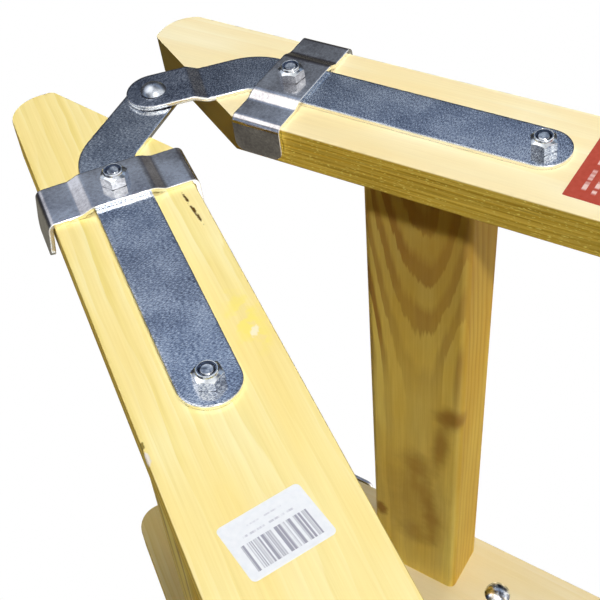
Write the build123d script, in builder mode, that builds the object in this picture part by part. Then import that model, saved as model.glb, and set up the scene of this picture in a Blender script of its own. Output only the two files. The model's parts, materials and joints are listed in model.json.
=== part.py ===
"""Wooden double stepladder: two ladder sections joined by strap hinges and held open by folding stays.

Units are millimetres. +Z is up, the feet stand on z = 0, X runs across the ladder and Y along its spread.
The front section stands at -Y and the rear section at +Y. Right is +X.

Places on a section are given by three measures: x across it, drop down it from the hinge axis, and
depth outwards from the hinge axis, square to the section. Each stile also has its own slanted frame,
because the stiles spread apart towards the floor.
"""

import os
from math import asin, cos, radians, sin, sqrt, tan

from build123d import *

# Opening and flare
opening_angle = 37.2
flare_angle = 3.2
hinge_half_width = 230.0

# Stiles
stile_width = 75.0
stile_thickness = 24.0
stile_rounding = 1.5
stile_edge_depth = 3.5
top_overhang = 36.0
end_corner_radius = 20.0
slant_corner_radius = 5.0
slant_run = 85.5
slant_depth = 47.5

# Rungs
rung_count = 5
rung_height = 68.5
rung_depth = 42.5
rung_edge_inset = 8.5
rung_rounding = 5.0
first_rung_drop = 149.5
rung_pitch = 270.0
foot_drop = 235.0
tenon_height = 50.0
tenon_thickness = 14.0
tenon_recess = 0.4
glue_gap = 0.1

# Hinge leaves
strap_width = 30.0
strap_thickness = 2.5
arm_angle = 45.0
arm_bend_radius = 23.0
joggle_start = 21.0
joggle_run = 7.0
joggle_bend_radius = 4.0
eye_gap = 0.8
strap_bolt_drop = 215.0

# Saddle clamps
saddle_drop = 66.5
saddle_length = 30.0
saddle_thickness = 2.5
saddle_leg = 19.5
saddle_leg_gap = 0.3
saddle_bend_gap = 0.2
saddle_ramp = 6.0
saddle_ramp_gap = 1.5
saddle_ramp_radius = 7.0
saddle_tip_radius = 6.0
outer_leg_splay = 8.5
inner_leg_splay = 1.5

# Hinge rivets
rivet_diameter = 8.0
rivet_head_diameter = 14.5
rivet_dome_height = 4.0
rivet_tail_height = 2.5
rivet_play = 0.5
running_clearance = 0.05

# Bolts and lock nuts
bolt_diameter = 8.0
bolt_head_diameter = 20.0
bolt_head_height = 4.8
bolt_neck = 4.5
bolt_hole_clearance = 0.1
bolt_end_chamfer = 1.2
nut_across_flats = 13.0
nut_face_diameter = 12.2
nut_turns = {
    "rear_right": (20.0, 56.0),
    "rear_left": (11.0, 47.0),
    "front_right": (34.0, 4.0),
    "front_left": (26.0, 15.0),
}
nut_hex_height = 4.8
nut_shoulder = 1.6
nut_height = 8.0
nut_collar_diameter = 10.4
nut_collar_lip = 0.3
nut_edge = 0.6
insert_width = 0.5
insert_height = 1.5
insert_gap = 0.1
thread_clearance = 0.05
bolt_end_recess = 0.5

# Folding stays
stay_drop = 560.0
stay_edge_inset = 10.0
stay_width = 16.0
stay_thickness = 2.5
stay_standoff = 3.0
stay_lap_gap = 0.3
stay_play = 0.2
stay_screw_diameter = 6.0
stay_screw_head_diameter = 12.0
stay_screw_head_height = 3.2
stay_screw_bite = 16.0
stay_screw_slot = 1.2
stay_screw_slot_depth = 1.8
stay_bush_diameter = 12.0
knee_rivet_diameter = 6.0
knee_head_diameter = 11.0
knee_head_height = 2.4
fit_gap = 0.02

# Derived places
half_angle = opening_angle / 2
stile_middle = stile_edge_depth + stile_width / 2
stile_outer_depth = stile_edge_depth + stile_width
rung_middle = stile_outer_depth - rung_edge_inset - rung_depth / 2
rung_drops = [first_rung_drop + i * rung_pitch for i in range(rung_count)]
floor_drop = rung_drops[-1] + foot_drop
pivot_height = floor_drop * cos(radians(half_angle)) - stile_middle * sin(radians(half_angle))
stile_reach = floor_drop + stile_width
joggle_rise = strap_thickness + eye_gap
saddle_seat = strap_thickness + saddle_thickness
stay_depth = stile_edge_depth + stay_edge_inset
stay_length = stay_drop * sin(radians(half_angle)) + stay_depth * cos(radians(half_angle))

X_AXIS = Vector(1, 0, 0)
PIVOT = Vector(0, 0, pivot_height)


class Section:
    """The directions of one ladder section: across it, down it and outwards from the hinge axis."""

    def __init__(self, name, facing):
        tilt = radians(half_angle)
        self.name = name
        self.across = X_AXIS * facing
        self.down = Vector(0, facing * sin(tilt), -cos(tilt))
        self.outward = Vector(0, facing * cos(tilt), sin(tilt))

    def point(self, x, drop, depth):
        return PIVOT + self.across * x + self.down * drop + self.outward * depth

    def flat(self, depth=0.0):
        """Plane of the section: x across, y down, facing outwards."""
        return Plane(self.point(0, 0, depth), x_dir=self.across, z_dir=self.outward)

    def cross(self, x=0.0):
        """Plane square to the hinge axis: x down, y outwards, facing across."""
        return Plane(self.point(x, 0, 0), x_dir=self.down, z_dir=self.across)


class Stile:
    """The slanted frame of one stile, on its outer face at the level of the hinge axis."""

    def __init__(self, section, side):
        slant = radians(flare_angle)
        self.section = section
        self.side = side
        self.along = section.down * cos(slant) + section.across * (side * sin(slant))
        self.normal = section.across * (side * cos(slant)) - section.down * sin(slant)
        self.origin = section.point(side * hinge_half_width, 0, 0)
        self.handing = "right" if (section.across * side).X > 0 else "left"
        self.has_joggle = side > 0
        self.name = f"{section.name}_{self.handing}"

    def face(self, height=0.0):
        """Plane of the outer face: x down the stile, y outwards times side, facing out of the ladder."""
        return Plane(self.origin + self.normal * height, x_dir=self.along, z_dir=self.normal)

    def end(self, drop):
        """Plane square to the stile: x outwards, y along the face normal times side, facing down."""
        return Plane(self.origin + self.along * drop, x_dir=self.section.outward, z_dir=self.along)


def face_half_width(drop, inset=0.0):
    """Half width of the ladder at a drop, measured to a plane that lies inset below the outer faces."""
    return hinge_half_width + drop * tan(radians(flare_angle)) - inset / cos(radians(flare_angle))


def save(piece, name):
    piece.part.label = name
    export_step(piece.part, f"parts/{name}.step")


def tapered_block(section, drop, height, thickness, inset):
    """Solid across the section whose ends follow the slanted stile faces."""
    upper = drop - height / 2
    lower = drop + height / 2
    upper_half = face_half_width(upper, inset)
    lower_half = face_half_width(lower, inset)
    with BuildSketch(section.flat(rung_middle)) as outline:
        with BuildLine():
            Polyline(
                (-upper_half, upper),
                (upper_half, upper),
                (lower_half, lower),
                (-lower_half, lower),
                close=True,
            )
        make_face()
    extrude(outline.sketch, amount=thickness / 2, both=True)


def make_rung(section, drop):
    """Rectangular rung with rounded long edges and a through tenon at each end."""
    with BuildPart() as rung:
        tapered_block(section, drop, rung_height, rung_depth, stile_thickness)
        fillet(rung.edges().filter_by(Axis.X), radius=rung_rounding)
        tapered_block(section, drop, tenon_height, tenon_thickness, tenon_recess)
    return rung


def make_stile(stile):
    """Board with rounded long edges, a slanted top, a level foot, mortises and bolt holes."""
    section = stile.section
    side = stile.side
    slant_end = slant_run - top_overhang
    with BuildPart() as board:
        with BuildSketch(stile.end(-top_overhang)):
            with Locations((stile_middle, -side * stile_thickness / 2)):
                RectangleRounded(stile_width, stile_thickness, stile_rounding)
        extrude(amount=stile_reach + top_overhang)
        with BuildSketch(stile.face()):
            with BuildLine():
                FilletPolyline(
                    (stile_reach, side * stile_edge_depth),
                    (slant_end, side * stile_edge_depth),
                    (-top_overhang, side * (stile_edge_depth + slant_depth)),
                    (-top_overhang, side * stile_outer_depth),
                    (stile_reach, side * stile_outer_depth),
                    radius=[0, 0, slant_corner_radius, end_corner_radius, 0],
                    close=True,
                )
            make_face()
        extrude(amount=-stile_thickness, mode=Mode.INTERSECT)
        split(bisect_by=Plane.XY, keep=Keep.TOP)
        for drop in rung_drops:
            with BuildSketch(section.flat(rung_middle)):
                with Locations((side * face_half_width(drop), drop)):
                    Rectangle(2 * stile_width, tenon_height + 2 * glue_gap)
            extrude(amount=tenon_thickness / 2 + glue_gap, both=True, mode=Mode.SUBTRACT)
        for drop in (saddle_drop, strap_bolt_drop):
            with BuildSketch(stile.face()):
                with Locations((drop, side * stile_middle)):
                    Circle(bolt_diameter / 2 + bolt_hole_clearance)
            extrude(amount=-stile_thickness, mode=Mode.SUBTRACT)
            neck_hole = bolt_diameter + 2 * bolt_hole_clearance
            with BuildSketch(stile.face(-stile_thickness)):
                with Locations((drop, side * stile_middle)):
                    Rectangle(neck_hole, neck_hole)
            extrude(amount=bolt_neck + bolt_hole_clearance, mode=Mode.SUBTRACT)
        hole_mouth = face_half_width(stay_drop, stile_thickness) - stay_standoff
        with BuildSketch(section.cross(side * hole_mouth)):
            with Locations((stay_drop, stay_depth)):
                Circle(stay_screw_diameter / 2 + glue_gap)
        extrude(amount=side * (stay_standoff + stay_screw_bite + glue_gap), mode=Mode.SUBTRACT)
    return board


def make_leaf(stile):
    """Strap with a round lower end and an arm bent in its plane to the pivot eye."""
    section = stile.section
    side = stile.side
    corner = stile_middle / tan(radians(arm_angle))
    with BuildPart() as leaf:
        with BuildSketch(stile.face()):
            with BuildLine() as spine:
                FilletPolyline(
                    (0, 0),
                    (corner, side * stile_middle),
                    (strap_bolt_drop, side * stile_middle),
                    radius=arm_bend_radius,
                )
            trace(spine.line, line_width=strap_width)
            with Locations((0, 0), (strap_bolt_drop, side * stile_middle)):
                Circle(strap_width / 2)
        if stile.has_joggle:
            extrude(amount=joggle_rise + strap_thickness)
            arm = stile.along * cos(radians(arm_angle)) + section.outward * sin(radians(arm_angle))
            half = strap_thickness / 2
            raised = joggle_rise + half
            with BuildSketch(Plane(stile.origin, x_dir=arm, z_dir=arm.cross(stile.normal))):
                with BuildLine() as ramp:
                    FilletPolyline(
                        (-strap_width, raised),
                        (joggle_start, raised),
                        (joggle_start + joggle_run, half),
                        (strap_bolt_drop + strap_width, half),
                        radius=joggle_bend_radius,
                    )
                trace(ramp.line, line_width=strap_thickness)
            extrude(amount=strap_bolt_drop + strap_width, both=True, mode=Mode.INTERSECT)
        else:
            extrude(amount=strap_thickness)
        with BuildSketch(stile.face()):
            with Locations((saddle_drop, side * stile_middle), (strap_bolt_drop, side * stile_middle)):
                Circle(bolt_diameter / 2 + bolt_hole_clearance)
        extrude(amount=strap_thickness, mode=Mode.SUBTRACT)
        with BuildSketch(section.cross(side * hinge_half_width)):
            Circle(rivet_diameter / 2 + running_clearance)
        extrude(amount=strap_width, both=True, mode=Mode.SUBTRACT)
    return leaf


def make_saddle(stile):
    """Strip bent over the strap, with a leg down each edge of the stile."""
    side = stile.side
    half = saddle_thickness / 2
    leg_stand = saddle_leg_gap + half
    inner_leg = stile_edge_depth - leg_stand
    outer_leg = stile_outer_depth + leg_stand
    inner_splay = saddle_leg * tan(radians(inner_leg_splay))
    outer_splay = saddle_leg * tan(radians(outer_leg_splay))
    crown = stile_middle - strap_width / 2 - saddle_ramp_gap
    far_crown = stile_middle + strap_width / 2 + saddle_ramp_gap
    leg_radius = stile_rounding + saddle_bend_gap + half
    with BuildPart() as saddle:
        with BuildSketch(stile.end(saddle_drop)):
            with BuildLine() as strip:
                FilletPolyline(
                    (inner_leg - inner_splay, -side * saddle_leg),
                    (inner_leg, side * half),
                    (crown - saddle_ramp, side * half),
                    (crown, side * (strap_thickness + half)),
                    (far_crown, side * (strap_thickness + half)),
                    (far_crown + saddle_ramp, side * half),
                    (outer_leg, side * half),
                    (outer_leg + outer_splay, -side * saddle_leg),
                    radius=[leg_radius] + [saddle_ramp_radius] * 4 + [leg_radius],
                )
            trace(strip.line, line_width=saddle_thickness)
        extrude(amount=saddle_length / 2, both=True)
        tip_corners = saddle.edges().filter_by(lambda edge: abs(edge.length - saddle_thickness) < fit_gap)
        fillet(tip_corners, radius=saddle_tip_radius)
        with BuildSketch(stile.face()):
            with Locations((saddle_drop, side * stile_middle)):
                Circle(bolt_diameter / 2 + bolt_hole_clearance)
        extrude(amount=saddle_seat, mode=Mode.SUBTRACT)
    return saddle


def radial_plane(origin, radial, axis):
    """Plane for a turned profile: x is the radius, y runs along the axis."""
    return Plane(origin, x_dir=radial, z_dir=radial.cross(axis))


def turned(plane, profile):
    """Revolve a closed profile, given as (radius, height) lines and arcs, about the plane's y axis."""
    with BuildSketch(plane) as outline:
        with BuildLine():
            profile()
        make_face()
    revolve(outline.sketch, axis=Axis(plane.origin, plane.y_dir))


def domed_pin(top, head_radius, head_height, pin_radius, pin_length):
    """Lines of a pin whose domed head stands on height top and whose shank runs down from there."""
    Line((0, top - pin_length), (0, top + head_height))
    ThreePointArc(
        (0, top + head_height),
        dome_point(top, head_radius, head_height),
        (head_radius, top),
    )
    Polyline(
        (head_radius, top),
        (pin_radius, top),
        (pin_radius, top - pin_length),
        (0, top - pin_length),
    )


def dome_point(top, head_radius, head_height):
    """Point half way along the arc of a dome."""
    ball = (head_radius**2 + head_height**2) / (2 * head_height)
    half = asin(head_radius / ball) / 2
    return (ball * sin(half), top + head_height - ball + ball * cos(half))


def make_bolt(stile, drop, seat):
    """Bolt with a domed head and a square neck, put through from the inner face of the stile."""
    middle = stile.origin + stile.along * drop + stile.section.outward * stile_middle
    head_seat = stile_thickness
    length = head_seat + seat + nut_height - bolt_end_recess
    with BuildPart() as bolt:
        turned(
            radial_plane(middle, stile.along, -stile.normal),
            lambda: domed_pin(head_seat, bolt_head_diameter / 2, bolt_head_height, bolt_diameter / 2, length),
        )
        with BuildSketch(stile.face(-stile_thickness)):
            with Locations((drop, stile.side * stile_middle)):
                Rectangle(bolt_diameter, bolt_diameter)
        extrude(amount=bolt_neck)
        shank_end = bolt.edges().group_by(Axis(middle, stile.normal))[-1]
        chamfer(shank_end, length=bolt_end_chamfer)
    return bolt


def nut_bore():
    """Lines of the hole through a lock nut, with the groove for its nylon ring."""
    bore = bolt_diameter / 2 + thread_clearance
    groove = bore + insert_width + insert_gap
    groove_top = nut_height - nut_collar_lip
    groove_floor = groove_top - insert_height - 2 * insert_gap
    Polyline(
        (0, 0),
        (bore, 0),
        (bore, groove_floor),
        (groove, groove_floor),
        (groove, groove_top),
        (groove - nut_collar_lip, nut_height),
        (0, nut_height),
        close=True,
    )


def nut_blank():
    """Lines of the round blank that takes the sharp corners off the hexagon and leaves the collar."""
    corner = nut_across_flats / sqrt(3) + nut_edge
    face = nut_face_diameter / 2
    collar = nut_collar_diameter / 2
    Polyline(
        (0, 0),
        (face, 0),
        (corner, nut_edge),
        (corner, nut_hex_height),
        (collar, nut_hex_height + nut_shoulder),
        (collar, nut_height - nut_collar_lip),
        (collar - nut_collar_lip, nut_height),
        (0, nut_height),
        close=True,
    )


def make_nut(stile, drop, seat, turn):
    """Hexagon lock nut with a round collar that holds the nylon ring."""
    plane = stile.face(seat)
    middle = plane.origin + stile.along * drop + stile.section.outward * stile_middle
    turning = radial_plane(middle, stile.along, stile.normal)
    with BuildPart() as nut:
        with BuildSketch(plane):
            with Locations((drop, stile.side * stile_middle)):
                RegularPolygon(nut_across_flats / 2, 6, major_radius=False, rotation=turn)
        extrude(amount=nut_height)
        with BuildSketch(turning):
            with BuildLine():
                nut_blank()
            make_face()
        revolve(axis=Axis(middle, stile.normal), mode=Mode.INTERSECT)
        with BuildSketch(turning):
            with BuildLine():
                nut_bore()
            make_face()
        revolve(axis=Axis(middle, stile.normal), mode=Mode.SUBTRACT)
    return nut


def make_insert(stile, drop, seat):
    """Nylon ring in the collar of a lock nut."""
    base = seat + nut_height - nut_collar_lip - insert_gap - insert_height
    inner = bolt_diameter / 2 + thread_clearance
    with BuildPart() as ring:
        with BuildSketch(stile.face(base)):
            with Locations((drop, stile.side * stile_middle)):
                Circle(inner + insert_width)
                Circle(inner, mode=Mode.SUBTRACT)
        extrude(amount=insert_height)
    return ring


def make_hinge_rivet(side):
    """Domed rivet through the two eyes of one hinge, headed inside as well."""
    inside = hinge_half_width - rivet_play
    outside = hinge_half_width + joggle_rise + strap_thickness + rivet_play
    axis = X_AXIS * side
    with BuildPart() as rivet:
        turned(
            radial_plane(PIVOT, Vector(0, 0, 1), axis),
            lambda: domed_pin(
                outside, rivet_head_diameter / 2, rivet_dome_height, rivet_diameter / 2, outside - inside
            ),
        )
        with BuildSketch(Plane(PIVOT + axis * inside, x_dir=Vector(0, 1, 0), z_dir=axis)):
            Circle(rivet_head_diameter / 2)
        extrude(amount=-rivet_tail_height)
        tail_end = rivet.edges().group_by(Axis(PIVOT, axis))[0]
        chamfer(tail_end, length=rivet_tail_height / 2)
    return rivet


class Stay:
    """Place of one stay bar: its layer beside the stile, its level and the direction of its knee."""

    def __init__(self, stile):
        self.stile = stile
        self.name = f"{stile.handing}_{stile.section.name}"
        self.across = stile.section.across * stile.side
        self.wall = face_half_width(stay_drop, stile_thickness)
        self.layer = stay_thickness + stay_lap_gap if stile.has_joggle else 0.0
        self.far_face = self.wall - stay_standoff - self.layer
        self.near_face = self.far_face - stay_thickness
        pivot = stile.section.point(0, stay_drop, stay_depth)
        self.pivot = Vector(0, pivot.Y, pivot.Z)
        self.knee = Vector(0, 0, pivot.Z)

    def plane(self, x):
        """Plane square to the hinge axis at a distance x from the middle: x along Y, y up."""
        return Plane(Vector(0, 0, self.pivot.Z) + self.across * x, x_dir=Vector(0, 1, 0), z_dir=X_AXIS)

    def outwards(self, length):
        """Signed length of an extrusion that runs out of the ladder."""
        return length * self.across.X


def make_stay_bar(stay):
    """Flat bar with round ends and a hole at each end."""
    with BuildPart() as bar:
        with BuildSketch(stay.plane(stay.near_face)):
            with Locations((stay.pivot.Y / 2, 0)):
                SlotCenterToCenter(stay_length, stay_width)
            with Locations((stay.pivot.Y, 0)):
                Circle(stay_screw_diameter / 2 + running_clearance, mode=Mode.SUBTRACT)
            Circle(knee_rivet_diameter / 2 + fit_gap, mode=Mode.SUBTRACT)
        extrude(amount=stay.outwards(stay_thickness))
    return bar


def make_knee_rivet(stay):
    """Half of the knee rivet, from the lap of the two bars to its domed head on one bar."""
    headed_out = not stay.stile.has_joggle
    axis = stay.across if headed_out else -stay.across
    lap = stay.near_face if headed_out else stay.far_face
    with BuildPart() as rivet:
        turned(
            radial_plane(stay.knee + stay.across * lap, Vector(0, 0, 1), axis),
            lambda: domed_pin(
                stay_thickness,
                knee_head_diameter / 2,
                knee_head_height,
                knee_rivet_diameter / 2,
                stay_thickness,
            ),
        )
    return rivet


def make_stay_screw(stay):
    """Round head screw with a cross recess, put through the bar and the bush into the stile."""
    head = stay.near_face - stay_play
    length = stay.wall + stay_screw_bite - head
    with BuildPart() as screw:
        turned(
            radial_plane(stay.pivot + stay.across * head, Vector(0, 0, 1), -stay.across),
            lambda: domed_pin(
                0, stay_screw_head_diameter / 2, stay_screw_head_height, stay_screw_diameter / 2, length
            ),
        )
        with BuildSketch(stay.plane(head - stay_screw_head_height)):
            with Locations((stay.pivot.Y, 0)):
                Rectangle(stay_screw_diameter, stay_screw_slot)
                Rectangle(stay_screw_slot, stay_screw_diameter)
        extrude(amount=stay.outwards(stay_screw_slot_depth), mode=Mode.SUBTRACT)
    return screw


def make_stay_bush(stay):
    """Spacer bush between the bar and the stile, cut to the slant of the stile."""
    with BuildPart() as bush:
        with BuildSketch(stay.plane(stay.far_face + stay_play)):
            with Locations((stay.pivot.Y, 0)):
                Circle(stay_bush_diameter / 2)
                Circle(stay_screw_diameter / 2 + fit_gap, mode=Mode.SUBTRACT)
        extrude(amount=stay.outwards(stay.wall - stay.far_face + stay_standoff))
        split(bisect_by=stay.stile.face(-stile_thickness), keep=Keep.BOTTOM)
    return bush


def save_group(pieces, name):
    with BuildPart() as group:
        add([piece.part for piece in pieces])
    save(group, name)


os.makedirs("parts", exist_ok=True)

sections = [Section("front", -1), Section("rear", 1)]

for section in sections:
    stiles = [Stile(section, side) for side in (1, -1)]
    stays = [Stay(stile) for stile in stiles]
    bolt_places = {"saddle": (saddle_drop, saddle_seat), "strap": (strap_bolt_drop, strap_thickness)}

    for stile in stiles:
        save(make_stile(stile), f"{stile.name}_stile")
        save(make_leaf(stile), f"{stile.name}_hinge_leaf")
        save(make_saddle(stile), f"{stile.name}_saddle")

    for number, drop in enumerate(rung_drops, start=1):
        save(make_rung(section, drop), f"{section.name}_rung_{number}")

    for place, seat in bolt_places.items():
        save_group([make_bolt(stile, *seat) for stile in stiles], f"{section.name}_{place}_bolts")

    nut_seats = [(stile, *seat) for stile in stiles for seat in bolt_places.values()]
    nut_rests = [turn for stile in stiles for turn in nut_turns[stile.name]]
    nuts = [make_nut(*seat, turn) for seat, turn in zip(nut_seats, nut_rests)]
    save_group(nuts, f"{section.name}_lock_nuts")
    save_group([make_insert(*seat) for seat in nut_seats], f"{section.name}_nut_inserts")

    for stay in stays:
        save(make_stay_bar(stay), f"{stay.name}_stay_bar")
        save(make_knee_rivet(stay), f"{stay.name}_knee_rivet_half")
    save_group([make_stay_screw(stay) for stay in stays], f"{section.name}_stay_screws")
    save_group([make_stay_bush(stay) for stay in stays], f"{section.name}_stay_bushes")

for side, handing in ((1, "right"), (-1, "left")):
    save(make_hinge_rivet(side), f"{handing}_hinge_rivet")
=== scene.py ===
"""Looks of the wooden double stepladder: lacquered pine, zinc plated hinges and stays, two labels.

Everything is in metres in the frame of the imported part. Right is +X, the front section stands at -Y.
Each board has its own frame. In a stile's, x runs down the stile from the hinge axis, y across its
width and z out of its outer face, which lies at z = 0. In a rung's, x runs along it, y down the
section and z outwards.
"""

import json
import random
from math import cos, pi, radians, sin

import bmesh
import bpy
from mathutils import Euler, Matrix, Vector


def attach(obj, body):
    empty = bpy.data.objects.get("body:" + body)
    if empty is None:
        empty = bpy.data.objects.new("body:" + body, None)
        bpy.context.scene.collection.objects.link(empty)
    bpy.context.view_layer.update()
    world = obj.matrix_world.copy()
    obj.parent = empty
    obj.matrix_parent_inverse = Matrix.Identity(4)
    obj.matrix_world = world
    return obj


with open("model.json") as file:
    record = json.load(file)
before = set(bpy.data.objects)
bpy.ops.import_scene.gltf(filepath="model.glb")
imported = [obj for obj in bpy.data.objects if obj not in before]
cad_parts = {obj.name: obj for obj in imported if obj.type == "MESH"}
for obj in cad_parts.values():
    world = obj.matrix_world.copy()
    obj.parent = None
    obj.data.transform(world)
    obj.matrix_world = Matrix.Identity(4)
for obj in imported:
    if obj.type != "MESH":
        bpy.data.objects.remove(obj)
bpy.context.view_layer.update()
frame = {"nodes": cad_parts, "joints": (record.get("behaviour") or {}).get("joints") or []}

MM = 0.001

# The ladder's directions, from its fold joint and the slant of its stiles
fold = next(joint for joint in frame["joints"] if joint["name"] == "fold")
hinge_point = Vector(fold["pos_m"])
half_opening = radians(fold["range_deg"][1]) / 2
stile_slant = radians(3.2)
hinge_half_width = 230 * MM
first_rung = 149.5
rung_pitch = 270
rung_count = 5
rung_drops = [(first_rung + rung_pitch * step) * MM for step in range(rung_count)]
rung_middle = 48.75 * MM

# Camera, matched to the photograph's square frame
camera_place = Vector((0.6538, -0.2678, 0.8959))
camera_turn = (135.233, 40.712, 95.147)
camera_lens = 72.54
camera_sensor = 36
camera_nearest = 0.02

# Lamps: direction from the hinge, distance, size and level. Level 1 shows a facing colour as written.
# The front, left and rear lamps lie level and far off. They light the other sides of the ladder and
# hardly change the photograph's view.
hinge_side = Vector((0.2, 0.0, 1.25))
lamps = {
    "key_softbox": dict(towards=(0.95, 0.30, 0.06), distance=2.6, size=0.7, level=0.39),
    "low_softbox": dict(
        towards=(0.77, -0.185, -0.61), distance=1.7, size=0.10, level=0.80, even=True, mirrored=True
    ),
    "under_softbox": dict(towards=(0.10, 0.52, -0.84), distance=1.2, size=0.4, level=0.26, even=True),
    "front_softbox": dict(towards=(0.0, -1.0, 0.0), distance=8.0, size=0.2, level=0.30, even=True),
    "left_softbox": dict(towards=(-1.0, 0.0, 0.0), distance=8.0, size=0.2, level=0.30, even=True),
    "rear_softbox": dict(towards=(0.0, 1.0, 0.0), distance=8.0, size=0.2, level=0.30, even=True),
    "back_softbox": dict(towards=(-0.80, 0.50, 0.33), distance=3.2, size=2.2, level=0.75),
    "top_softbox": dict(towards=(-0.05, 0.10, 0.99), distance=3.0, size=1.6, level=0.45),
}
room_level = 0.035

# Grey tent seen only in reflections: its white opening, and its tones by the angle from the opening
tent_opening = Vector((0.93, -0.20, -0.25)).normalized()
tent_radius = 4.5
tent_hem = Vector((0, 0, 0.02))
tent_tones = [
    (28, "#FFFFFF"),
    (34, "#C8CCD4"),
    (40, "#8A8E96"),
    (48, "#6A6E76"),
    (56, "#90969F"),
    (61, "#AEC2DE"),
    (64, "#AABFDC"),
    (67, "#A2ACBE"),
    (70, "#9CA6B6"),
    (71, "#ABBEDA"),
    (72, "#A5B7D2"),
    (74, "#868E98"),
    (76, "#787F86"),
    (80, "#626670"),
    (88, "#4A4C52"),
    (102, "#3C3C3E"),
    (125, "#7C796E"),
]

# White cards that glow by themselves, seen only in reflections: direction from the hinge, radius at 3 m,
# brightness and tone
card_distance = 3.0
cards = {
    "side_card": dict(towards=(0.82, -0.28, 0.43), radius=1.90, brightness=1.9, tone="#FFFFFF"),
    "top_card": dict(towards=(0.54, -0.15, 0.83), radius=0.95, brightness=0.9, tone="#EEF4FF"),
    "ramp_card": dict(towards=(0.34, 0.76, 0.56), radius=0.60, brightness=0.18, tone="#FFFFFF"),
}

# Floor: its radius, and the span over which it fades into the white background
floor_radius = 9.0
floor_fade = (1.0, 6.0)

# Labels on the outer faces in millimetres: drop and depth of the middle, size, corner radius and turn
label_thickness = 0.12 * MM
label_lift = 0.02 * MM
price_label = dict(drop=298.2, depth=42.3, width=38.5, height=29.2, corner=2.2, turn=11.1)
plain_label = dict(drop=281.5, depth=40.5, width=55.0, height=90.0, corner=0.6, turn=-1.5)

# Plain bars on the labels, in millimetres from the middle: span down, span across, size, ink and cover
grey_rows = [
    ((-2.0, 11.5), (-15, 15), 1.5, "#6E6C84", 0.75),
    ((-5.6, -4.6), (-12, 12), 2.2, "#B8B8C6", 0.7),
    ((-9.4, -8.6), (-8, 8), 2.6, "#C4C4D0", 0.6),
]
pale_rows = [
    ((-38.2, -35.8), (-22, 6), 5.0, "#F2D8D0", 0.8),
    ((-32.7, -30.3), (-22, 6), 4.2, "#F2D8D0", 0.8),
    ((-27.6, -25.4), (-22, 2), 4.6, "#F2D8D0", 0.8),
]

# Woods, in millimetres and degrees. pith, lean and sweep place the rings' heart and bend it along the
# board, fade gives the places along it where the rings are faintest and clearest, start shifts the
# first ring, and waver lists how the rings wander: how drawn out, at what size and how far.
# turn and dark are places within a ring. Shares and tones follow for rings, fibres, clouds and edges.
# The edge tone is partly the lacquer's deeper gold on sawn wood and partly painted shade, the slant tone
# is painted shade, and the fleck tone paints glints.
front_wood = dict(
    pith=(0, -10, -42), lean=(0, 0.2, 0.3), sweep=(0, 1000, 0), fade=(420, 60), start=0.0, ring=5.4,
    waver=[(0.10, 30, 6.0), (0.3, 16, 2.0), (0.02, 5, 1.2)],
    turn=0.35, dark=0.75, faintest=0.25, rings_on_edge=1.0,
    early="#FFF2B8", middle="#FDEBA0", late="#F3DF86",
    fibre=1.2, fibre_dark="#E0D2A8", fibre_on_face=0.2, fibre_on_edge=0.9,
    cloud=24, cloud_dark="#FCF3D8",
    edge="#EFE084", edge_line="#D8C890", slant="#B8B096", glints=0.5, glint_tone="#F2E49A",
)
rear_wood = dict(
    pith=(0, 30, -95), lean=(0, 0.3, 0.2), sweep=(0, 1000, 0), fade=(-2000, -1000), start=0.0, ring=3.5,
    waver=[(0.10, 34, 4.0), (0.02, 6, 0.8)],
    turn=0.4, dark=0.8, faintest=0.3, rings_on_edge=1.0,
    early="#FDF2CC", middle="#FCEEC0", late="#F9E7B4",
    fibre=1.0, fibre_dark="#AC9658", fibre_on_face=0.08, fibre_on_edge=0.75,
    cloud=30, cloud_dark="#FBF2DC",
    edge="#FAEC88", edge_line="#E4D8A8", slant="#B8B096", glints=1.0, glint_tone="#FFF27E",
)
# The rungs' tones, a deeper gold than the stiles', are partly the pine's own and partly painted warm
# shade.
rung_wood = dict(
    fade=(-2000, -1000), start=0.0, ring=4.56,
    waver=[(0.3, 34, 3.0), (0.03, 1.9, 0.8)],
    turn=0.36, dark=0.60, faintest=0.4, rings_on_edge=0.25,
    early="#EEDB78", middle="#E8D26C", late="#A67C3E",
    fibre=1.2, fibre_dark="#D2C0A0", fibre_on_face=0.3, fibre_on_edge=0.25,
    cloud=26, cloud_dark="#F2E6CC",
    edge="#EEDEB8", edge_line="#F4E8C8", slant="#FFFFFF", glints=0.0, glint_tone="#F2E49A",
)
top_rung_rings = dict(
    pith=(0, 5, 32), lean=(0, 0, 0.8), sweep=(20, 260, 16), start=3.4, fade=(10, 70), faintest=0.6
)
# Painted light and shade: the far stiles' tones, greyer and darker on the rear one and paler on the front
# one, stand in for how much light reaches them.
far_stiles_painted_light_and_shade = {
    "rear_left": dict(early="#D4CAAC", middle="#D2C6A2", late="#CEBE92"),
    "front_left": dict(early="#FFF0B9", middle="#FDEBAC", late="#F6E29A"),
}

# Zincs, in millimetres. draw stretches the mottle across the strip, fleck and patch are its two sizes,
# arris is the softened radius of the edges, pivot the tone near the hinge axis. cut_axis is the axis of
# the piece's frame that tells a cut edge, and cut_span how far a face leans on it, from rolled to cut.
strap_zinc = dict(
    draw=0.32, fleck=0.5, patch=20, patch_share=0.22, dark="#666D7E", mid="#B2B9C7", light="#FFFFFF",
    rough=(0.10, 0.22), relief=0.15, specks=0.6, scuffs=0.8, arris=1.6, pivot="#FFFFFF",
    cut_edges=1.0, cut_axis=2, cut_span=(0.6, 0.25),
)
# Painted shade: the rear straps are darkened near the hinge axis, standing in for their darker reflection
# there.
rear_strap_zinc = dict(strap_zinc, pivot="#D4D4D8")
saddle_zinc = dict(
    draw=0.8, fleck=1.6, patch=24, patch_share=0.65, dark="#ACA8AB", mid="#D0CCCD", light="#ECE9EA",
    rough=(0.09, 0.16), relief=0.05, specks=0.15, scuffs=0.3, arris=0.9, pivot="#FFFFFF",
    cut_edges=1.0, cut_axis=0, cut_span=(0.6, 0.9),
)
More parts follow.
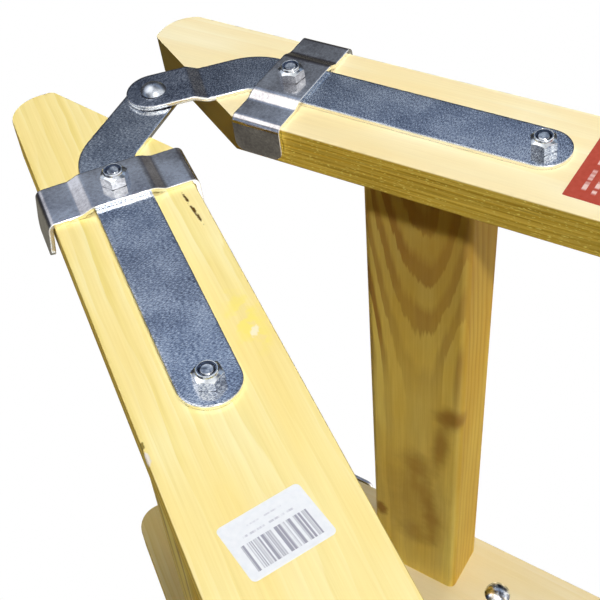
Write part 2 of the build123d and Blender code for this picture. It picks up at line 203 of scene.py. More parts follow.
fastener_zinc = dict(
    draw=1.0, fleck=1.2, patch=6, patch_share=0.8, dark="#BEC3C9", mid="#CFD4D9", light="#E4E8EC",
    rough=(0.06, 0.12), relief=0.02, specks=0.0, scuffs=0.0, arris=0.3, pivot="#FFFFFF",
    cut_edges=0.0, cut_axis=2, cut_span=(0.6, 0.25),
)
# Painted reflection: large dark and white blotches on the bolts stand in for the dark and bright
# reflections on their heads and ends.
bolt_zinc = dict(
    fastener_zinc, patch=5.0, patch_share=0.9, dark="#5C606A", mid="#B4B9C1", light="#FFFFFF",
    rough=(0.18, 0.28),
)
rivet_zinc = dict(fastener_zinc, dark="#A2A7AF", mid="#B6BBC3", light="#CACFD5", rough=(0.24, 0.32))


def shade(hex_code):
    """Linear colour of an sRGB hex value."""
    values = [int(hex_code[i : i + 2], 16) / 255 for i in (1, 3, 5)]
    return [v / 12.92 if v <= 0.04045 else ((v + 0.055) / 1.055) ** 2.4 for v in values] + [1.0]


def add_node(tree, kind, inputs=None, stops=None, **settings):
    """Add a shader node: its settings, its ramp stops, and its sockets as values or as links."""
    made = tree.nodes.new("ShaderNode" + kind)
    for name, value in settings.items():
        setattr(made, name, value)
    for socket, value in (inputs or {}).items():
        if isinstance(value, bpy.types.NodeSocket):
            tree.links.new(value, made.inputs[socket])
        else:
            made.inputs[socket].default_value = value
    if stops:
        ramp = made.color_ramp.elements
        while len(ramp) < len(stops):
            ramp.new(1.0)
        for element, (position, colour) in zip(ramp, stops):
            element.position = position
            element.color = colour
    return made


def start_material(name):
    """A new material with an empty principled surface."""
    material = bpy.data.materials.new(name)
    material.use_nodes = True
    tree = material.node_tree
    tree.nodes.clear()
    surface = add_node(tree, "BsdfPrincipled")
    add_node(tree, "OutputMaterial", {"Surface": surface.outputs["BSDF"]})
    return material, tree, surface


def per_size(size):
    """Texture scale at which a pattern's features are this many millimetres wide."""
    return 1 / (size * MM)


class Stile:
    """Directions and place of one stile, named as its nodes are."""

    def __init__(self, section, facing, side):
        across = Vector((facing, 0, 0))
        down = Vector((0, facing * sin(half_opening), -cos(half_opening)))
        self.outward = Vector((0, facing * cos(half_opening), sin(half_opening)))
        self.along = down * cos(stile_slant) + across * (side * sin(stile_slant))
        self.normal = across * (side * cos(stile_slant)) - down * sin(stile_slant)
        self.section = section
        self.side = side
        self.name = section + ("_right" if facing * side > 0 else "_left")
        origin = hinge_point + across * (side * hinge_half_width)
        axes = Matrix((self.along, self.outward * side, self.normal)).transposed()
        self.frame = Matrix.Translation(origin) @ axes.to_4x4()

    def place(self, drop, depth):
        """A point of the outer face in the stile's own frame, from a drop and a depth in millimetres."""
        return Vector((drop, self.side * depth, 0)) * MM


stiles = {}
for section, facing in (("front", -1), ("rear", 1)):
    for side in (1, -1):
        stile = Stile(section, facing, side)
        stiles[stile.name] = stile


def own_frame(tree, place):
    """Object coordinates carried into the frame of one board, strip or label."""
    inverse = place.inverted()
    coordinates = add_node(tree, "TexCoord").outputs["Object"]
    carried = {"Location": inverse.to_translation(), "Rotation": inverse.to_euler()}
    return add_node(tree, "Mapping", {"Vector": coordinates, **carried}).outputs["Vector"]


def growth_rings(tree, board, wood):
    """Place of each point of a board within its growth ring, from 0 to 1, and how dark that year is."""
    heart = {
        "Location": [-v * MM for v in wood["pith"]],
        "Rotation": [radians(v) for v in wood["lean"]],
    }
    pith = add_node(tree, "Mapping", {"Vector": board, **heart})
    section = add_node(tree, "VectorMath", {0: pith.outputs[0], 1: (0, 1, 1)}, operation="MULTIPLY")
    start, end, rise = wood["sweep"]
    bend = {"From Min": start * MM, "From Max": end * MM, "To Max": rise * MM}
    along = add_node(tree, "SeparateXYZ", {0: board}).outputs["X"]
    sweep = add_node(tree, "MapRange", {"Value": along, **bend}, interpolation_type="SMOOTHSTEP")
    lifted = add_node(tree, "CombineXYZ", {"Z": sweep.outputs[0]})
    both = {0: section.outputs[0], 1: lifted.outputs[0]}
    swept = add_node(tree, "VectorMath", both, operation="ADD").outputs[0]
    radius = add_node(tree, "VectorMath", {0: swept}, operation="LENGTH").outputs["Value"]
    for drawn, size, reach in wood["waver"]:
        stretch = {"Location": wood["shift"], "Scale": (drawn, 1, 1)}
        path = add_node(tree, "Mapping", {"Vector": board, **stretch}).outputs[0]
        waver = add_node(tree, "TexNoise", {"Vector": path, "Scale": per_size(size), "Detail": 2.0})
        moved = {0: waver.outputs["Fac"], 1: 2 * reach * MM, 2: radius}
        radius = add_node(tree, "Math", moved, operation="MULTIPLY_ADD").outputs[0]
    first = wood["start"] - sum(reach for drawn, size, reach in wood["waver"])
    counted = {0: radius, 1: per_size(wood["ring"]), 2: first / wood["ring"]}
    count = add_node(tree, "Math", counted, operation="MULTIPLY_ADD").outputs[0]
    within = add_node(tree, "Math", {0: count}, operation="FRACT").outputs[0]
    number = add_node(tree, "Math", {0: count}, operation="FLOOR").outputs[0]
    year = add_node(tree, "TexWhiteNoise", {"W": number}, noise_dimensions="1D").outputs["Value"]
    return within, year


def spot(tree, board, middle, size, turn=0.0, ragged=0.0, tear=1.6, soft=0.4):
    """Mask of an oval mark on a board: 1 in its middle, 0 outside, with a torn rim. Sizes are in mm."""
    oval = {"Location": middle, "Rotation": (0, 0, radians(turn)), "Scale": [v * MM for v in size]}
    centred = add_node(tree, "Mapping", {"Vector": board, **oval}, vector_type="TEXTURE").outputs[0]
    distance = add_node(tree, "VectorMath", {0: centred}, operation="LENGTH").outputs["Value"]
    rim = add_node(tree, "TexNoise", {"Vector": board, "Scale": per_size(tear), "Detail": 3.0})
    torn_rim_and_axis_shade = {0: rim.outputs["Fac"], 1: ragged, 2: distance}
    torn = add_node(tree, "Math", torn_rim_and_axis_shade, operation="MULTIPLY_ADD").outputs[0]
    outside = 1.0 + ragged / 2
    fade = {"From Min": outside - soft, "From Max": outside, "To Min": 1.0, "To Max": 0.0}
    mask = add_node(tree, "MapRange", {"Value": torn, **fade}, interpolation_type="SMOOTHSTEP")
    return mask.outputs["Result"]


def lacquered_pine(name, place, outward, wood, marks=None):
    """Planed pine under clear lacquer: soft pale rings, fibre lines, deep golden sawn edges that are
    partly painted shade, painted shade on roundings and slants, and painted glints.

    The fibre lines are drawn coarser than real ones, so that they show in the render.
    """
    material, tree, surface = start_material(name)
    board = own_frame(tree, place)
    along = add_node(tree, "SeparateXYZ", {0: board}).outputs["X"]

    # Where the surface turns over to a sawn edge, and where it lies square on one
    normal = add_node(tree, "NewGeometry").outputs["Normal"]
    sideways = add_node(tree, "VectorMath", {0: normal, 1: outward}, operation="DOT_PRODUCT")
    facing = add_node(tree, "Math", {0: sideways.outputs["Value"]}, operation="ABSOLUTE").outputs[0]
    turning = {"From Min": 0.5, "From Max": 0.85}
    edge = add_node(tree, "MapRange", {"Value": facing, **turning}).outputs[0]
    lying = {"From Min": 0.90, "From Max": 0.97}
    square = add_node(tree, "MapRange", {"Value": facing, **lying}).outputs[0]

    # Growth rings, fainter in some years, in clear patches, on some edges and towards a clear end
    within, year = growth_rings(tree, board, wood)
    ring_stops = [
        (0.0, shade(wood["early"])),
        (wood["turn"], shade(wood["middle"])),
        (wood["dark"], shade(wood["late"])),
        (0.93, shade(wood["late"])),
        (1.0, shade(wood["early"])),
    ]
    growth = add_node(tree, "ValToRGB", {"Fac": within}, stops=ring_stops)
    spread = {"Location": wood["shift"], "Scale": (0.25, 1, 1)}
    drift = add_node(tree, "Mapping", {"Vector": board, **spread}).outputs[0]
    clouds = {"Vector": drift, "Scale": per_size(wood["cloud"]), "Detail": 2.0}
    cloud = add_node(tree, "TexNoise", clouds).outputs["Fac"]
    yearly = add_node(tree, "MapRange", {"Value": year, "To Min": wood["faintest"], "To Max": 1.0})
    patchy = {"From Min": 0.38, "From Max": 0.55, "To Min": wood["faintest"], "To Max": 1.0}
    locally = add_node(tree, "MapRange", {"Value": cloud, **patchy})
    by_face = add_node(tree, "MapRange", {"Value": edge, "To Min": 1.0, "To Max": wood["rings_on_edge"]})
    clear_end, ringed_end = wood["fade"]
    clearing = {"From Min": clear_end * MM, "From Max": ringed_end * MM, "To Min": 0.3, "To Max": 1.0}
    by_place = add_node(tree, "MapRange", {"Value": along, **clearing})
    strength = yearly.outputs[0]
    for share in (locally, by_face, by_place):
        both = {0: strength, 1: share.outputs[0]}
        strength = add_node(tree, "Math", both, operation="MULTIPLY").outputs[0]
    ringed = {0: strength, 6: shade(wood["early"]), 7: growth.outputs["Color"]}
    face = add_node(tree, "Mix", ringed, data_type="RGBA").outputs[2]

    # Fibre lines and darker clouds all over
    thread = {"Location": wood["shift"], "Scale": (0.02, 1, 1)}
    threads = add_node(tree, "Mapping", {"Vector": board, **thread}).outputs[0]
    fibres = {"Vector": threads, "Scale": per_size(wood["fibre"]), "Detail": 3.0, "Roughness": 0.65}
    fibre = add_node(tree, "TexNoise", fibres).outputs["Fac"]
    fibre_stops = [(0.30, shade(wood["fibre_dark"])), (0.65, shade("#FFFFFF"))]
    fibre_tone = add_node(tree, "ValToRGB", {"Fac": fibre}, stops=fibre_stops)
    by_cut = {"To Min": wood["fibre_on_face"], "To Max": wood["fibre_on_edge"]}
    fibre_share = add_node(tree, "MapRange", {"Value": square, **by_cut})
    cloud_stops = [(0.34, shade(wood["cloud_dark"])), (0.66, shade("#FFFFFF"))]
    cloud_tone = add_node(tree, "ValToRGB", {"Fac": cloud}, stops=cloud_stops)
    tints = [(fibre_share.outputs[0], fibre_tone.outputs["Color"]), (1.0, cloud_tone.outputs["Color"])]
    for share, tint in tints:
        tinted = {0: share, 6: face, 7: tint}
        face = add_node(tree, "Mix", tinted, data_type="RGBA", blend_type="MULTIPLY").outputs[2]

    # Sawn edges: ring lines on the square part, gold all over that is partly painted shade, greyer
    # painted shade on the roundings and slants, and bright flecks that paint glints
    line_stops = [(0.45, shade("#FFFFFF")), (0.85, shade(wood["edge_line"])), (1.0, shade("#FFFFFF"))]
    lines = add_node(tree, "ValToRGB", {"Fac": within}, stops=line_stops)
    slanting = add_node(tree, "Math", {0: 1.0, 1: square}, operation="SUBTRACT")
    tints = [
        (square, lines.outputs["Color"]),
        (1.0, shade(wood["edge"])),
        (slanting.outputs[0], shade(wood["slant"])),
    ]
    sawn = face
    for share, tint in tints:
        tinted = {0: share, 6: sawn, 7: tint}
        sawn = add_node(tree, "Mix", tinted, data_type="RGBA", blend_type="MULTIPLY").outputs[2]
    # Painted glints: bright flecks on the square part of the sawn edges stand in for the lacquer's
    # glints.
    glint_stretch = {"Location": wood["shift"], "Scale": (0.3, 1, 1)}
    glint_threads = add_node(tree, "Mapping", {"Vector": board, **glint_stretch}).outputs[0]
    fleck = add_node(tree, "TexNoise", {"Vector": glint_threads, "Scale": per_size(0.8), "Detail": 1.0})
    sparse = {"From Min": 0.63, "From Max": 0.70, "To Max": wood["glints"]}
    torn = add_node(tree, "MapRange", {"Value": fleck.outputs["Fac"], **sparse})
    on_edge = add_node(tree, "Math", {0: torn.outputs[0], 1: square}, operation="MULTIPLY")
    glinted = {0: on_edge.outputs[0], 6: sawn, 7: shade(wood["glint_tone"])}
    sawn = add_node(tree, "Mix", glinted, data_type="RGBA").outputs[2]

    colour = add_node(tree, "Mix", {0: edge, 6: face, 7: sawn}, data_type="RGBA").outputs[2]
    if marks:
        colour = marks(tree, board, colour)
    tree.links.new(colour, surface.inputs["Base Color"])
    relief = add_node(tree, "Bump", {"Height": fibre, "Strength": 0.3, "Distance": 0.12 * MM})
    tree.links.new(relief.outputs["Normal"], surface.inputs["Normal"])
    gloss = add_node(tree, "MapRange", {"Value": fibre, "To Min": 0.38, "To Max": 0.55})
    tree.links.new(gloss.outputs[0], surface.inputs["Roughness"])
    surface.inputs["Specular IOR Level"].default_value = 0.1
    return material


def near_stile_marks(tree, board, colour):
    """A resin stain with a pale core, a bark pocket and a chipped arris with painted shade at its heel,
    on the near front stile.
    """
    stile = stiles["front_right"]
    stain = spot(tree, board, stile.place(186, 13), (27, 11, 5), ragged=0.9, tear=5, soft=0.8)
    resin_core = spot(tree, board, stile.place(194, 12.5), (4.0, 2.2, 5), turn=-30, ragged=1.2)
    pocket = spot(tree, board, stile.place(99, 10.8), (17, 1.05, 5), turn=4.5, ragged=0.9)
    chip = spot(tree, board, stile.place(242, 77.9), (4.5, 1.6, 5), ragged=0.9)
    # Painted shade: the chip's dark heel stands in for the shade in its dent.
    chip_heel_shade = spot(tree, board, stile.place(234.5, 78.0), (2.6, 1.3, 5), ragged=0.9)
    runs = add_node(tree, "TexNoise", {"Vector": board, "Scale": per_size(9.0), "Detail": 2.0})
    run_span = {"From Min": 0.42, "From Max": 0.50}
    patchy = add_node(tree, "MapRange", {"Value": runs.outputs["Fac"], **run_span})
    resin = add_node(tree, "Math", {0: stain, 1: patchy.outputs[0]}, operation="MULTIPLY")
    crumbs = add_node(tree, "TexNoise", {"Vector": board, "Scale": per_size(3.0), "Detail": 4.0})
    crumb_span = {"From Min": 0.44, "From Max": 0.52}
    broken = add_node(tree, "MapRange", {"Value": crumbs.outputs["Fac"], **crumb_span})
    bark = add_node(tree, "Math", {0: pocket, 1: broken.outputs[0]}, operation="MULTIPLY")
    tones = [
        (resin.outputs[0], "#FBE87E"),
        (resin_core, "#FBF0CC"),
        (bark.outputs[0], "#5A4014"),
        (chip, "#EADFD2"),
        (chip_heel_shade, "#8C7A3C"),
    ]
    for mask, tone in tones:
        marked = {0: mask, 6: colour, 7: shade(tone)}
        colour = add_node(tree, "Mix", marked, data_type="RGBA").outputs[2]
    return colour


def top_rung_marks(tree, board, colour):
    """Painted shade browning the near end, a swirl of darker wood and a pin knot on the rear top rung."""
    inner_face = -21
    end = dict(soft=0.9)
    swirl = dict(ragged=0.6, tear=14, soft=0.9)
    knot = dict(ragged=0.9, tear=6, soft=0.7)
    browns_and_end_shade = [
        # Painted shade: this broad oval darkens the near end of the rung, by the stile.
        ((175, 6), (150, 110, 140), 0, 0.52, end),
        ((-112, -2), (80, 36, 30), 0, 0.45, swirl),
        ((4, 27), (16, 19, 12), 0, 0.9, swirl),
        ((-30, 20), (46, 9.5, 12), 5, 0.75, swirl),
        ((-66, 5), (24, 20, 16), 0, 0.5, swirl),
        ((-96, 8), (40, 13, 16), -8, 0.45, swirl),
        ((-134, 15), (44, 10, 12), -3, 0.6, swirl),
        ((-158, 2), (20, 24, 12), 0, 0.45, swirl),
        ((-144, -28), (11, 7, 9), 0, 1.0, knot),
    ]
    for (x, y), size, turn, share, rim in browns_and_end_shade:
        middle = Vector((x, y, inner_face)) * MM
        mask = spot(tree, board, middle, size, turn, **rim)
        darker = add_node(tree, "Math", {0: mask, 1: share}, operation="MULTIPLY")
        browned = {0: darker.outputs[0], 6: colour, 7: shade("#98702F")}
        colour = add_node(tree, "Mix", browned, data_type="RGBA").outputs[2]
    return colour


def zinc_plate(name, place, metal):
    """Zinc plated steel: a cool grey mirror broken by a mottle, bright specks, scuffs and cut edges.

    The mottle is drawn coarser than on real plate, so that it shows in the render.
    """
    material, tree, surface = start_material(name)
    strip = own_frame(tree, place)

    # Fine mottle drawn out across the strip, blended with broad patches
    drawn = add_node(tree, "Mapping", {"Vector": strip, "Scale": (1.0, metal["draw"], 1.0)}).outputs[0]
    crystals = {"Vector": drawn, "Scale": per_size(metal["fleck"]), "Detail": 3.0, "Roughness": 0.7}
    mottle = add_node(tree, "TexNoise", crystals).outputs["Fac"]
    broad = {"Vector": strip, "Scale": per_size(metal["patch"]), "Detail": 3.0}
    patches = add_node(tree, "TexNoise", broad).outputs["Fac"]
    shares = {0: metal["patch_share"], 2: mottle, 3: patches}
    blended = add_node(tree, "Mix", shares, data_type="FLOAT").outputs[0]
    tone_stops = [(0.39, shade(metal["dark"])), (0.5, shade(metal["mid"])), (0.61, shade(metal["light"]))]
    tone = add_node(tree, "ValToRGB", {"Fac": blended}, stops=tone_stops)

    # Bright specks, and scuffs across the strip where the patches are rubbed
    grit = add_node(tree, "TexNoise", {"Vector": strip, "Scale": per_size(1.1), "Detail": 0.0})
    sparse = {"From Min": 0.74, "From Max": 0.80, "To Max": metal["specks"]}
    specks = add_node(tree, "MapRange", {"Value": grit.outputs["Fac"], **sparse})
    lines = add_node(tree, "Mapping", {"Vector": strip, "Scale": (1.0, 0.09, 1.0)}).outputs[0]
    scratch = add_node(tree, "TexNoise", {"Vector": lines, "Scale": per_size(1.3), "Detail": 2.0})
    thin = {"From Min": 0.66, "From Max": 0.72, "To Max": metal["scuffs"]}
    scratched = add_node(tree, "MapRange", {"Value": scratch.outputs["Fac"], **thin})
    rubbed = add_node(tree, "MapRange", {"Value": patches, "From Min": 0.50, "From Max": 0.58})
    both = {0: scratched.outputs[0], 1: rubbed.outputs[0]}
    scuffs = add_node(tree, "Math", both, operation="MULTIPLY")
    either = {0: specks.outputs[0], 1: scuffs.outputs[0]}
    bright = add_node(tree, "Math", either, operation="MAXIMUM")
    specked = {0: bright.outputs[0], 6: tone.outputs["Color"], 7: shade("#F4F6FA")}
    colour = add_node(tree, "Mix", specked, data_type="RGBA").outputs[2]

    # Painted shade: the reflection darkened round the pivot, then bright cut edges
    from_axis = add_node(tree, "VectorMath", {0: strip}, operation="LENGTH").outputs["Value"]
    axis_shade_stops = [(25 * MM, shade(metal["pivot"])), (75 * MM, shade("#FFFFFF"))]
    axis_shade = add_node(tree, "ValToRGB", {"Fac": from_axis}, stops=axis_shade_stops)
    torn_rim_and_axis_shade = {0: 1.0, 6: colour, 7: axis_shade.outputs["Color"]}
    colour = add_node(tree, "Mix", torn_rim_and_axis_shade, data_type="RGBA", blend_type="MULTIPLY").outputs[2]
    normal = add_node(tree, "NewGeometry").outputs["Normal"]
    axis = place.to_3x3().col[metal["cut_axis"]]
    leaning = add_node(tree, "VectorMath", {0: normal, 1: axis}, operation="DOT_PRODUCT")
    facing = add_node(tree, "Math", {0: leaning.outputs["Value"]}, operation="ABSOLUTE")
    rolled, sheared = metal["cut_span"]
    sides = {"From Min": rolled, "From Max": sheared, "To Max": metal["cut_edges"]}
    cut = add_node(tree, "MapRange", {"Value": facing.outputs[0], **sides})
    edged = {0: cut.outputs[0], 6: colour, 7: shade("#F4F4F0")}
    colour = add_node(tree, "Mix", edged, data_type="RGBA").outputs[2]
    tree.links.new(colour, surface.inputs["Base Color"])

    smooth, dull = metal["rough"]
    polish = {"From Min": 0.35, "From Max": 0.65, "To Min": smooth, "To Max": dull}
    rough = add_node(tree, "MapRange", {"Value": blended, **polish})
    tree.links.new(rough.outputs[0], surface.inputs["Roughness"])
    rounded = add_node(tree, "Bevel", {"Radius": metal["arris"] * MM}, samples=6).outputs[0]
    dents = {"Height": mottle, "Normal": rounded, "Strength": metal["relief"], "Distance": 0.05 * MM}
    relief = add_node(tree, "Bump", dents)
    tree.links.new(relief.outputs["Normal"], surface.inputs["Normal"])
    surface.inputs["Metallic"].default_value = 1.0
    return material


def moulded_nylon():
    """Nylon ring of a lock nut: dark blue-grey, slightly waxy, with a faint moulded mottle."""
    material, tree, surface = start_material("moulded_nylon")
    coordinates = add_node(tree, "TexCoord").outputs["Object"]
    mottle = add_node(tree, "TexNoise", {"Vector": coordinates, "Scale": per_size(0.8), "Detail": 2.0})
    blues = [(0.3, shade("#2A3346")), (0.7, shade("#46546E"))]
    colour = add_node(tree, "ValToRGB", {"Fac": mottle.outputs["Fac"]}, stops=blues)
    tree.links.new(colour.outputs["Color"], surface.inputs["Base Color"])
    surface.inputs["Roughness"].default_value = 0.45
    return material


def coated_paper(name, place, low, high, rows):
    """Coated label paper: smooth, with a faint fibre mottle and rows of plain upright printed bars."""
    material, tree, surface = start_material(name)
    sheet = own_frame(tree, place)
    mottle = add_node(tree, "TexNoise", {"Vector": sheet, "Scale": per_size(2.5), "Detail": 4.0})
    papers = [(0.3, shade(low)), (0.7, shade(high))]
    colour = add_node(tree, "ValToRGB", {"Fac": mottle.outputs["Fac"]}, stops=papers).outputs["Color"]
    parts = add_node(tree, "SeparateXYZ", {0: sheet})
    for x_span, y_span, bar, ink, cover in rows:
        block = 1.0
        for axis, (start, end) in (("X", x_span), ("Y", y_span)):
            middle = (start + end) / 2 * MM
            half = (end - start) / 2 * MM
            inside = {0: parts.outputs[axis], 1: middle, 2: half}
            within = add_node(tree, "Math", inside, operation="COMPARE").outputs[0]
            block = add_node(tree, "Math", {0: block, 1: within}, operation="MULTIPLY").outputs[0]
        across = {"W": parts.outputs["Y"], "Scale": per_size(bar), "Detail": 1.0}
        stripes = add_node(tree, "TexNoise", across, noise_dimensions="1D")
        inking = {"From Min": 0.42, "From Max": 0.58, "To Max": cover}
        inked = add_node(tree, "MapRange", {"Value": stripes.outputs["Fac"], **inking})
        mask = add_node(tree, "Math", {0: block, 1: inked.outputs[0]}, operation="MULTIPLY")
        printed = {0: mask.outputs[0], 6: colour, 7: shade(ink)}
        colour = add_node(tree, "Mix", printed, data_type="RGBA").outputs[2]
    tree.links.new(colour, surface.inputs["Base Color"])
    surface.inputs["Roughness"].default_value = 0.5
    surface.inputs["Specular IOR Level"].default_value = 0.2
    return material


def dress(node, material):
    """Give a node of the frame its material."""
    mesh = frame["nodes"][node].data
    mesh.materials.clear()
    mesh.materials.append(material)


grain = random.Random(11)

for stile in stiles.values():
    wood = dict(front_wood if stile.section == "front" else rear_wood)
    # Painted light and shade on the two far stiles
    wood.update(far_stiles_painted_light_and_shade.get(stile.name, {}))
    x, depth, height = wood["pith"]
    wood["pith"] = (x, stile.side * depth, height)
    wood["shift"] = (grain.uniform(-1, 1), grain.uniform(-1, 1), 0)
    marks = near_stile_marks if stile.name == "front_right" else None
    pine_name = f"lacquered_pine_{stile.name}_stile"
    dress(f"{stile.name}_stile", lacquered_pine(pine_name, stile.frame, stile.outward, wood, marks))
    leaf = rear_strap_zinc if stile.section == "rear" else strap_zinc
    dress(f"{stile.name}_hinge_leaf", zinc_plate(f"rolled_zinc_{stile.name}", stile.frame, leaf))
    saddle = zinc_plate(f"pressed_zinc_{stile.name}", stile.frame, saddle_zinc)
    dress(f"{stile.name}_saddle", saddle)

for section, facing in (("front", -1), ("rear", 1)):
    down = Vector((0, facing * sin(half_opening), -cos(half_opening)))
    outward = Vector((0, facing * cos(half_opening), sin(half_opening)))
    across = Vector((facing, 0, 0))
    for number, drop in enumerate(rung_drops, start=1):
        middle = hinge_point + down * drop + outward * rung_middle
        axes = Matrix((across, down, outward)).transposed()
        place = Matrix.Translation(middle) @ axes.to_4x4()
        wood = dict(rung_wood)
        marks = None
        wood["pith"] = (0, grain.uniform(-14, 14), grain.choice((-1, 1)) * grain.uniform(35, 80))
        wood["lean"] = (0, grain.uniform(-1, 1), grain.uniform(-2, 2))
        wood["sweep"] = (grain.uniform(-60, 60), 250, grain.uniform(-24, 24))
        wood["shift"] = (grain.uniform(-1, 1), grain.uniform(-1, 1), 0)
        if (section, number) == ("rear", 1):
            wood.update(top_rung_rings)
            marks = top_rung_marks
        pine = lacquered_pine(f"lacquered_pine_{section}_rung_{number}", place, down, wood, marks)
        dress(f"{section}_rung_{number}", pine)

upright = Matrix.Identity(4)
lengthways = Matrix.Rotation(radians(90), 4, "Y")
fastener = zinc_plate("bright_zinc_fasteners", upright, fastener_zinc)
rivet = zinc_plate("hammered_zinc_rivets", upright, rivet_zinc)
finishes = {
    "_bolts": zinc_plate("bright_zinc_bolts", upright, bolt_zinc),
    "_lock_nuts": fastener,
    "_stay_screws": fastener,
    "_stay_bushes": fastener,
    "_rivet": rivet,
    "_rivet_half": rivet,
    "_stay_bar": zinc_plate("rolled_zinc_stays", lengthways, strap_zinc),
    "_nut_inserts": moulded_nylon(),
}
for node in frame["nodes"]:
    for ending, finish in finishes.items():
        if node.endswith(ending):
            dress(node, finish)


def label_place(stile, label):
    """Frame of a label: x down, y across, z out of the stile's face, with its back on the face."""
    middle = stile.place(label["drop"], label["depth"])
    turn = Matrix.Rotation(radians(label["turn"]), 4, "Z")
    return stile.frame @ Matrix.Translation(middle + Vector((0, 0, label_lift))) @ turn


def put_in_scene(name, mesh, material):
    """Make an object of a finished mesh and its material."""
    data = bpy.data.meshes.new(name)
    mesh.to_mesh(data)
    mesh.free()
    data.materials.append(material)
    piece = bpy.data.objects.new(name, data)
    bpy.context.scene.collection.objects.link(piece)
    return piece


def stick_label(name, place, label, material, body):
    """A thin sheet with rounded corners, stuck on the outer face of a stile."""
    mesh = bmesh.new()
    bmesh.ops.create_grid(mesh, x_segments=1, y_segments=1, size=0.5)
    bmesh.ops.scale(mesh, vec=(label["height"] * MM, label["width"] * MM, 1), verts=mesh.verts)
    bmesh.ops.bevel(
        mesh, geom=list(mesh.verts), offset=label["corner"] * MM, segments=5, profile=0.5,
        affect="VERTICES", material=-1,
    )
    raised = bmesh.ops.extrude_face_region(mesh, geom=list(mesh.faces))
    moved = [item for item in raised["geom"] if isinstance(item, bmesh.types.BMVert)]
    bmesh.ops.translate(mesh, vec=(0, 0, label_thickness), verts=moved)
    bmesh.ops.recalc_face_normals(mesh, faces=list(mesh.faces))
    bmesh.ops.transform(mesh, matrix=place, verts=mesh.verts)
    piece = put_in_scene(name, mesh, material)
    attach(piece, body)


white_place = label_place(stiles["front_right"], price_label)
red_place = label_place(stiles["rear_right"], plain_label)
white_paper = coated_paper("coated_white_paper", white_place, "#E9ECF1", "#F0F2F6", grey_rows)
red_paper = coated_paper("coated_red_paper", red_place, "#AE4636", "#B85040", pale_rows)
stick_label("price_label", white_place, price_label, white_paper, "front_section")
stick_label("plain_label", red_place, plain_label, red_paper, "rear_section")


def stage_piece(name, mesh, material):
    """Put a piece of the studio in the scene."""
    piece = put_in_scene(name, mesh, material)
    return piece


def show_in_reflections_only(piece):
    """Let a piece of the studio be seen in reflections and nowhere else."""
    piece.visible_camera = False
    piece.visible_diffuse = False
    piece.visible_transmission = False
    piece.visible_shadow = False


def pale_floor():
    """Smooth painted floor: pale round the ladder, with its shadow, fading into the white background."""
    material, tree, surface = start_material("pale_floor_paint")
    coordinates = add_node(tree, "TexCoord").outputs["Object"]
    mottle = add_node(tree, "TexNoise", {"Vector": coordinates, "Scale": per_size(600), "Detail": 2.0})
    greys = [(0.3, shade("#A6A6A4")), (0.7, shade("#AEAEAC"))]
    colour = add_node(tree, "ValToRGB", {"Fac": mottle.outputs["Fac"]}, stops=greys)
    tree.links.new(colour.outputs["Color"], surface.inputs["Base Color"])
    surface.inputs["Roughness"].default_value = 0.8
    away = add_node(tree, "VectorMath", {0: coordinates}, operation="LENGTH")
    near, far = floor_fade
    fading = {"From Min": near, "From Max": far, "To Min": 0.45, "To Max": 1.0}
    pale = add_node(tree, "MapRange", {"Value": away.outputs["Value"], **fading})
    path = add_node(tree, "LightPath")
    seen = {0: path.outputs["Is Camera Ray"], 1: pale.outputs[0]}
    glow = add_node(tree, "Math", seen, operation="MULTIPLY").outputs[0]
    for mirrored in ("Is Glossy Ray", "Is Transmission Ray"):
        either = {0: glow, 1: path.outputs[mirrored]}
        glow = add_node(tree, "Math", either, operation="MAXIMUM").outputs[0]
    tree.links.new(glow, surface.inputs["Emission Strength"])
    surface.inputs["Emission Color"].default_value = shade("#FFFFFF")
    return material


floor_mesh = bmesh.new()
bmesh.ops.create_circle(floor_mesh, cap_ends=True, segments=96, radius=floor_radius)
floor = stage_piece("floor", floor_mesh, pale_floor())
# The floor throws no light back up, so that the under sides stay as dark as in the photograph
floor.visible_diffuse = False


def tent_cloth():
    """Cloth of the grey tent: it glows by itself, white at the opening and darker away from it."""
    material, tree, surface = start_material("graded_tent_cloth")
    coordinates = add_node(tree, "TexCoord").outputs["Object"]
    reach = add_node(tree, "VectorMath", {0: coordinates, 1: hinge_side}, operation="SUBTRACT")
    direction = add_node(tree, "VectorMath", {0: reach.outputs[0]}, operation="NORMALIZE").outputs[0]
    turned = add_node(tree, "VectorMath", {0: direction, 1: tent_opening}, operation="DOT_PRODUCT")
    angle = add_node(tree, "Math", {0: turned.outputs["Value"]}, operation="ARCCOSINE")
    share = add_node(tree, "MapRange", {"Value": angle.outputs[0], "From Max": pi})
    stops = [(degrees_off / 180, shade(tone)) for degrees_off, tone in tent_tones]
    tone = add_node(tree, "ValToRGB", {"Fac": share.outputs[0]}, stops=stops)
    tree.links.new(tone.outputs["Color"], surface.inputs["Emission Color"])
    surface.inputs["Emission Strength"].default_value = 1.0
    surface.inputs["Base Color"].default_value = shade("#000000")
    surface.inputs["Specular IOR Level"].default_value = 0.0
    return material


tent_place = Matrix.Translation(hinge_side)
tent_mesh = bmesh.new()
bmesh.ops.create_uvsphere(tent_mesh, u_segments=64, v_segments=32, radius=tent_radius, matrix=tent_place)
rim = hinge_side + tent_opening * (tent_radius * cos(radians(tent_tones[0][0])))
for point, normal in ((rim, tent_opening), (tent_hem, Vector((0, 0, -1)))):
    geometry = tent_mesh.verts[:] + tent_mesh.edges[:] + tent_mesh.faces[:]
    bmesh.ops.bisect_plane(tent_mesh, geom=geometry, plane_co=point, plane_no=normal, clear_outer=True)
show_in_reflections_only(stage_piece("grey_tent", tent_mesh, tent_cloth()))


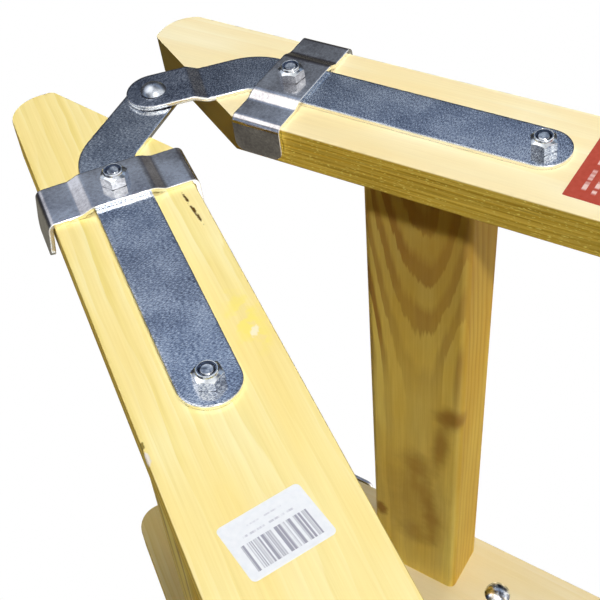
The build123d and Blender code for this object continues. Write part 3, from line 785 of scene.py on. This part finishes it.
def glowing_card(name, middle, card):
    """White card that glows by itself, bright in the middle with a soft rim: highlights on bends, domes
    and nuts.
    """
    material, tree, surface = start_material(name + "_paper")
    coordinates = add_node(tree, "TexCoord").outputs["Object"]
    away = add_node(tree, "VectorMath", {0: coordinates, 1: middle}, operation="DISTANCE")
    rim = {"From Min": card["radius"] / 2, "From Max": card["radius"], "To Min": 1.0, "To Max": 0.0}
    cover = add_node(tree, "MapRange", {"Value": away.outputs["Value"], **rim})
    tree.links.new(cover.outputs[0], surface.inputs["Alpha"])
    surface.inputs["Emission Color"].default_value = shade(card["tone"])
    surface.inputs["Emission Strength"].default_value = card["brightness"]
    surface.inputs["Base Color"].default_value = shade("#000000")
    surface.inputs["Specular IOR Level"].default_value = 0.0
    return material


for name, card in cards.items():
    direction = Vector(card["towards"]).normalized()
    middle = hinge_side + direction * card_distance
    place = Matrix.Translation(middle) @ direction.to_track_quat("Z", "Y").to_matrix().to_4x4()
    card_mesh = bmesh.new()
    bmesh.ops.create_circle(card_mesh, cap_ends=True, segments=48, radius=card["radius"], matrix=place)
    show_in_reflections_only(stage_piece(name, card_mesh, glowing_card(name, middle, card)))

for name, lamp in lamps.items():
    direction = Vector(lamp["towards"]).normalized()
    light = bpy.data.lights.new(name, "AREA")
    light.shape = "SQUARE"
    light.size = lamp["size"]
    light.energy = lamp["level"] * pi**2 * lamp["distance"] ** 2
    if lamp.get("even"):
        # The same level at every distance, so that the feet of the ladder aren't brighter than its top
        light.energy = lamp["level"] * pi**2
        light.use_nodes = True
        glow = light.node_tree.nodes["Emission"]
        fade = add_node(light.node_tree, "LightFalloff", {"Strength": 1.0})
        light.node_tree.links.new(fade.outputs["Constant"], glow.inputs["Strength"])
    softbox = bpy.data.objects.new(name, light)
    softbox.location = hinge_side + direction * lamp["distance"]
    softbox.rotation_euler = (-direction).to_track_quat("-Z", "Y").to_euler()
    softbox.visible_camera = False
    softbox.visible_glossy = lamp.get("mirrored", False)
    bpy.context.scene.collection.objects.link(softbox)

# White surroundings for the eye and for reflections, a lower even level for everything else
world = bpy.data.worlds.new("studio")
world.use_nodes = True
bpy.context.scene.world = world
room = world.node_tree
room.nodes.clear()
path = add_node(room, "LightPath")
seen = path.outputs["Is Camera Ray"]
for mirrored in ("Is Glossy Ray", "Is Transmission Ray"):
    either = {0: seen, 1: path.outputs[mirrored]}
    seen = add_node(room, "Math", either, operation="MAXIMUM").outputs[0]
even = add_node(room, "Background", {"Color": shade("#FFFFFF"), "Strength": room_level})
white = add_node(room, "Background", {"Color": shade("#FFFFFF"), "Strength": 1.0})
both = add_node(room, "MixShader", {0: seen, 1: even.outputs[0], 2: white.outputs[0]})
add_node(room, "OutputWorld", {"Surface": both.outputs[0]})

camera_data = bpy.data.cameras.new("camera")
camera_data.sensor_width = camera_sensor
camera_data.lens = camera_lens
camera_data.clip_start = camera_nearest
camera = bpy.data.objects.new("camera", camera_data)
camera.location = camera_place
camera.rotation_euler = Euler([radians(angle) for angle in camera_turn])
bpy.context.scene.collection.objects.link(camera)
bpy.context.scene.camera = camera
bpy.context.scene.view_settings.view_transform = "Standard"
